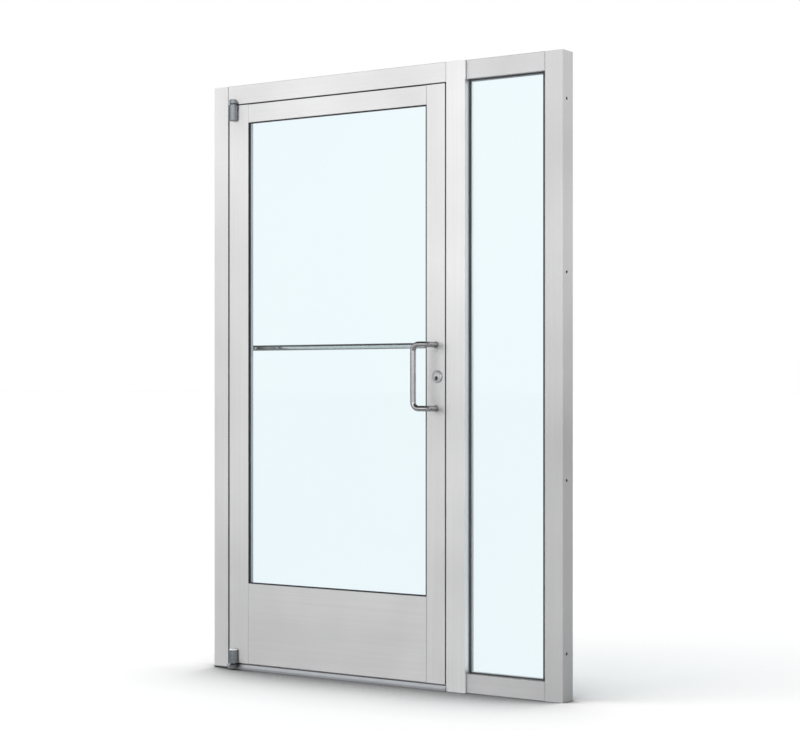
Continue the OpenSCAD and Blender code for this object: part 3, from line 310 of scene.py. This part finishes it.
# Uprights are brushed along Z and level members along X; nodes not named here are of plated steel
FINISHES = (
    (frame_metal("upright_aluminium", "Z", ALUMINIUM),
     ("hinge_door_stop", "strike_door_stop", "hinge_bead", "lock_bead")),
    (frame_metal("level_aluminium", "X", ALUMINIUM),
     ("door_header", "head_door_stop", "top_rail", "bottom_rail", "top_bead", "bottom_bead",
      "corner_clips", "header_pivot_block")),
    (frame_metal("jamb_aluminium", "Z", ALUMINIUM, JAMB_PAINTED_SHADE), ("hinge_jamb",)),
    (frame_metal("hinge_stile_aluminium", "Z", ALUMINIUM, STILE_PAINTED_SHADE), ("hinge_stile",)),
    (frame_metal("lock_stile_aluminium", "Z", ALUMINIUM, LOCK_PAINTED_SHADE), ("lock_stile",)),
    # Painted light on the mullion and painted shade on the sidelight frame, as lighter and darker copies
    # of one aluminium
    (frame_metal("lit_mullion_aluminium", "Z", LIT_MULLION_ALUMINIUM, SIDE_PAINTED_SHADE), ("mullion",)),
    (frame_metal("shaded_side_upright_aluminium", "Z", SHADED_SIDE_ALUMINIUM, SIDE_PAINTED_SHADE), ("sidelight_jamb",)),
    (frame_metal("shaded_side_level_aluminium", "X", SHADED_SIDE_ALUMINIUM, SIDE_PAINTED_SHADE),
     ("sidelight_head", "sidelight_sill", "sidelight_head_stop", "sidelight_sill_stop")),
    (threshold_metal, ("threshold",)),
    (polished("polished_rod", (0.47, 0.47, 0.48), rough=0.16), ("pull_handle",)),
    (polished("polished_bar", (0.58, 0.56, 0.55), rough=0.10), ("push_bar",)),
    (pivot_grey("pivot_grey").mat, ("top_pivot_bracket", "bottom_pivot_base", "top_pivot_arm")),
    (bare_and_highlit_pivot.mat, ("bottom_pivot_arm",)),
    (satin, ("lock_cylinder", "cylinder_ring", "turn_cylinder", "thumbturn")),
    (plug_with_painted_keyway_shade, ("key_plug",)),
    (rubber("black_rubber", (0.022, 0.023, 0.025)),
     ("door_outer_gasket", "door_inner_gasket", "door_setting_blocks", "sidelight_setting_blocks",
      "thrust_washer")),
    (rubber("dark_grey_rubber", (0.07, 0.07, 0.073)), ("sidelight_outer_gasket",)),
    (rubber("grey_rubber", (0.42, 0.43, 0.45)), ("sidelight_inner_gasket",)),
    (rubber("grey_pile", (0.06, 0.06, 0.065), rough=0.85),
     ("hinge_weatherstrip", "head_weatherstrip", "strike_weatherstrip")),
    (clear_glass("pale_glass"), ("door_glass", "sidelight_glass")),
)
FINISH_OF = {node: material for material, nodes in FINISHES for node in nodes}

for node, obj in NODES.items():
    obj.data.materials.clear()
    obj.data.materials.append(FINISH_OF.get(node, steel))
    # The satin frame shows no image of the pivots that stand just before it
    obj.visible_glossy = "pivot" not in node


# Stage: floor, light and camera

# Lengths in metres
FLOOR_REACH = 400.0
FLOOR_HEIGHT = -0.0005
SHADE_REACH = 0.55
FLOOR_SHADES = (
    (0.47, (0.08, 0.08, 0.085)), (0.6, (0.4, 0.4, 0.405)), (0.78, (0.84, 0.84, 0.84)), (1.0, WHITE),
)
FLOOR_LIT = (0.92, 0.92, 0.92)
# The floor is darker where metal mirrors it: painted shade in the reflections
FLOOR_MIRRORED = (0.74, 0.74, 0.745)

UP = (0.0, 0.0, 1.0)
SURROUNDINGS = 0.8
BACKDROP = 1.0

# A patch of the mirrored studio: its direction, the cosines at its rim and core, and its share of light
Patch = namedtuple("Patch", "towards rim core share")
PATCHES = (
    Patch(UP, -0.02, 0.25, 1.24),                     # brighter above the horizon
    Patch(UP, 0.25, 0.58, 0.06),                      # dark ceiling
    Patch((0.342, -0.94, 0.0), 0.5, 0.95, 1.6),       # front light
    Patch((0.906, 0.423, 0.0), 0.82, 0.94, 0.2),      # right flag
    Patch((-1.0, 0.035, 0.0), 0.743, 0.906, 0.3),     # left flag
)

KEY_STRENGTH, KEY_SPREAD = 0.95, 40.0    # watts per square metre, degrees
KEY_TOWARDS = (0.35, 0.5, -0.8)
SOFTBOX_POWER, SOFTBOX_SIZE = 30.0, 2.2    # watts, metres
SOFTBOX_PLACE = (-3.2, -3.6, 2.9)
SOFTBOX_TOWARDS = (3.0, 3.6, -1.6)

PHOTO_WIDTH, PHOTO_HEIGHT = 800, 731    # pixels, like the next two
FOCAL_LENGTH, HORIZON = 1946.9, 388.47
SENSOR_WIDTH = 36.0    # millimetres
CAMERA_PLACE = (3.9391, -5.2707, 0.9774)
CAMERA_HEADING = 34.994    # degrees
CAMERA_SIGHT = 1000.0


def add_object(name, data):
    obj = bpy.data.objects.new(name, data)
    bpy.context.scene.collection.objects.link(obj)
    return obj


def floor_material():
    """Soft contact shade to the camera; seen through glass it is as white as the backdrop."""
    m = Material("floor_white", Roughness=0.9, Specular_IOR_Level=0.1)
    path = m.light_path()
    shade = m.ramp(m.openness(SHADE_REACH), FLOOR_SHADES)
    # Painted shade in reflections: glossy rays see a darker floor than diffuse rays
    unseen = m.mix(path["Is Glossy Ray"], FLOOR_LIT, FLOOR_MIRRORED)
    m.links.new(m.mix(path["Is Camera Ray"], unseen, shade), m.shader.inputs["Base Color"])
    white = m.nodes.new("ShaderNodeEmission").outputs["Emission"]
    m.show(m.choose(path["Is Transmission Ray"], m.shader.outputs["BSDF"], white))
    return m.mat


def make_floor():
    mesh = bpy.data.meshes.new("floor")
    r = FLOOR_REACH
    mesh.from_pydata([(-r, -r, 0), (r, -r, 0), (r, r, 0), (-r, r, 0)], [], [(0, 1, 2, 3)])
    mesh.materials.append(floor_material())
    floor = add_object("floor", mesh)
    floor.location.z = FLOOR_HEIGHT


def make_world():
    """A white backdrop, an even light on the object, and a studio that its metal mirrors."""
    world = bpy.data.worlds.new("studio")
    bpy.context.scene.world = world
    world.use_nodes = True
    tree = Nodes(world.node_tree)
    path = tree.light_path()

    def background(strength):
        node = tree.nodes.new("ShaderNodeBackground")
        node.inputs["Color"].default_value = opaque(WHITE)
        tree.feed(node.inputs["Strength"], strength)
        return node.outputs["Background"]

    def near(direction):
        """The cosine of the angle between a ray and a direction."""
        node = tree.nodes.new("ShaderNodeVectorMath")
        node.operation = "DOT_PRODUCT"
        tree.links.new(tree.coords["Generated"], node.inputs[0])
        node.inputs[1].default_value = direction
        return node.outputs["Value"]

    mirrored = 1.0
    for patch in PATCHES:
        share = tree.ease(near(patch.towards), patch.rim, patch.core, 1.0, patch.share)
        mirrored = tree.math("MULTIPLY", mirrored, share)
    bounced = tree.ease(path["Glossy Depth"], 0.0, 1.0)
    around = tree.choose(bounced, background(SURROUNDINGS), background(mirrored))
    not_lit = tree.ease(path["Diffuse Depth"], 0.0, 1.0, 1.0, 0.0)
    not_mirrored = tree.ease(path["Glossy Depth"], 0.0, 1.0, 1.0, 0.0)
    seen = tree.math("MULTIPLY", not_lit, not_mirrored)
    out = tree.nodes.new("ShaderNodeOutputWorld")
    tree.links.new(tree.choose(seen, around, background(BACKDROP)), out.inputs["Surface"])


def make_lamp(name, kind, energy, towards, place=(0.0, 0.0, 0.0)):
    """A lamp that shines one way, and isn't mirrored or seen through glass."""
    data = bpy.data.lights.new(name, kind)
    data.energy = energy
    lamp = add_object(name, data)
    lamp.visible_glossy = lamp.visible_transmission = False
    lamp.location = place
    x, y, z = towards
    lamp.rotation_euler = (math.atan2(math.hypot(x, y), -z), 0.0, math.atan2(-x, y))
    return data


def make_lamps():
    key = make_lamp("key_light", "SUN", KEY_STRENGTH, KEY_TOWARDS)
    key.angle = math.radians(KEY_SPREAD)
    left = make_lamp("left_softbox", "AREA", SOFTBOX_POWER, SOFTBOX_TOWARDS, SOFTBOX_PLACE)
    left.size = SOFTBOX_SIZE


def make_camera():
    """A level camera right of the door, shifted so that its uprights stay upright."""
    data = bpy.data.cameras.new("camera")
    data.sensor_fit = "HORIZONTAL"
    data.sensor_width = SENSOR_WIDTH
    data.lens = FOCAL_LENGTH * SENSOR_WIDTH / PHOTO_WIDTH
    data.shift_y = (HORIZON - PHOTO_HEIGHT / 2) / PHOTO_WIDTH
    data.clip_end = CAMERA_SIGHT
    camera = add_object("camera", data)
    camera.location = CAMERA_PLACE
    camera.rotation_euler = (math.radians(90.0), 0.0, math.radians(CAMERA_HEADING))
    bpy.context.scene.camera = camera


make_floor()
make_world()
make_lamps()
make_camera()
bpy.context.scene.view_settings.view_transform = "Standard"
